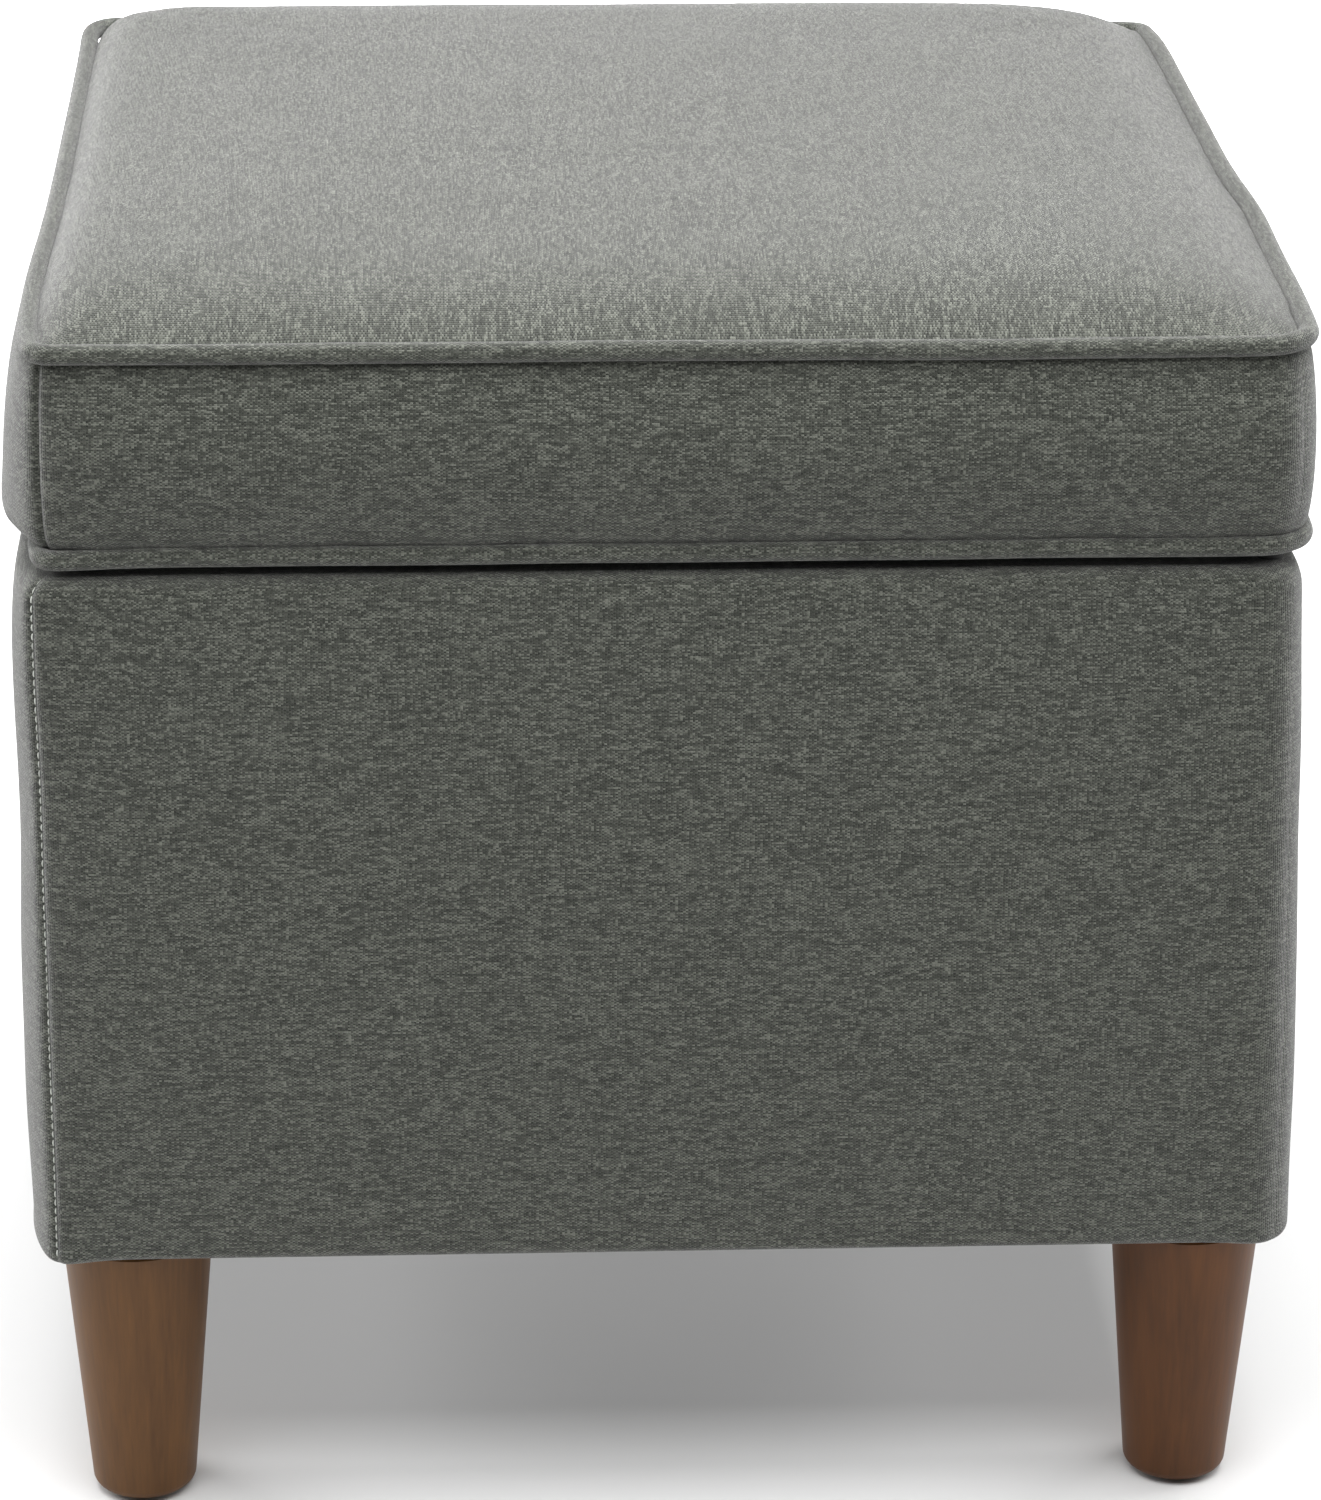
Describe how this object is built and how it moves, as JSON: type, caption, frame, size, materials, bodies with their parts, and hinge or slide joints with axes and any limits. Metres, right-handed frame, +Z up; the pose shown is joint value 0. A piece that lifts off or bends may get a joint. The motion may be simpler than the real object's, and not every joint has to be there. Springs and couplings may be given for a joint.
{
  "type": "storage ottoman",
  "caption": "Square upholstered storage ottoman on tapered round wooden legs, with a piped box-cushion lid that tips back on hinges and is held open by slotted stays.",
  "frame": {"origin": "centre of the footprint, on the floor that the glides stand on", "axes": "+Z up, front faces -Y, the hinged edge is at +Y, +X is to the right seen from the front"},
  "size_m": [0.436, 0.4258, 0.443],
  "materials": {
    "panel_wood": "matte",
    "block_wood": "matte",
    "leg_wood": "satin",
    "glide_plastic": "matte",
    "bumper_rubber": "matte",
    "cover_fabric": "matte",
    "padding_foam": "matte",
    "lining_cloth": "matte",
    "hardware_steel": "satin",
    "screw_steel": "satin"
  },
  "bodies": {
    "box": {"front_panel": "panel_wood", "back_panel": "panel_wood", "left_panel": "panel_wood", "right_panel": "panel_wood", "floor_panel": "panel_wood", "corner_block_front_left": "block_wood", "corner_block_front_right": "block_wood", "corner_block_back_left": "block_wood", "corner_block_back_right": "block_wood", "panel_screws": "screw_steel", "floor_screws": "screw_steel", "leg_front_left": "leg_wood", "leg_front_right": "leg_wood", "leg_back_left": "leg_wood", "leg_back_right": "leg_wood", "glide_front_left": "glide_plastic", "glide_front_right": "glide_plastic", "glide_back_left": "glide_plastic", "glide_back_right": "glide_plastic", "leg_bolts": "hardware_steel", "leg_nuts": "hardware_steel", "front_padding": "padding_foam", "back_padding": "padding_foam", "left_padding": "padding_foam", "right_padding": "padding_foam", "box_cover": "cover_fabric", "wall_lining": "lining_cloth", "floor_lining": "lining_cloth", "dust_cover": "lining_cloth", "dust_cover_staples": "hardware_steel", "bumper_left": "bumper_rubber", "bumper_right": "bumper_rubber", "hinge_left_box_leaf": "hardware_steel", "hinge_right_box_leaf": "hardware_steel", "hinge_left_pin": "hardware_steel", "hinge_right_pin": "hardware_steel", "hinge_box_screws": "screw_steel", "stay_left_stud": "hardware_steel", "stay_right_stud": "hardware_steel"},
    "lid": {"lid_board": "panel_wood", "lid_foam": "padding_foam", "lid_top_cover": "cover_fabric", "lid_side_band": "cover_fabric", "lid_top_welt": "cover_fabric", "lid_bottom_welt": "cover_fabric", "lid_wrap_strip": "cover_fabric", "lid_lining": "lining_cloth", "lid_lining_staples": "hardware_steel", "hinge_left_lid_leaf": "hardware_steel", "hinge_right_lid_leaf": "hardware_steel", "hinge_lid_screws": "screw_steel", "stay_left_bracket": "hardware_steel", "stay_right_bracket": "hardware_steel", "stay_bracket_screws": "screw_steel", "stay_left_rivet": "hardware_steel", "stay_right_rivet": "hardware_steel"},
    "stay_left": {"stay_left_arm": "hardware_steel"},
    "stay_right": {"stay_right_arm": "hardware_steel"}
  },
  "joints": [
    {"name": "lid_hinge", "type": "hinge", "parent": "box", "child": "lid", "pos_m": [0, 0.2131, 0.3483], "axis": [-1, 0, 0], "range_deg": [0, 95]},
    {"name": "stay_left_pivot", "type": "hinge", "parent": "lid", "child": "stay_left", "pos_m": [-0.1845, 0.10365, 0.3373], "axis": [-1, 0, 0], "range_deg": [-48, 0]},
    {"name": "stay_right_pivot", "type": "hinge", "parent": "lid", "child": "stay_right", "pos_m": [0.1845, 0.10365, 0.3373], "axis": [-1, 0, 0], "range_deg": [-48, 0]}
  ],
  "couplings": [
    {"joint": "stay_left_pivot", "follows": "lid_hinge", "ratio": -0.5},
    {"joint": "stay_right_pivot", "follows": "lid_hinge", "ratio": -0.5}
  ]
}
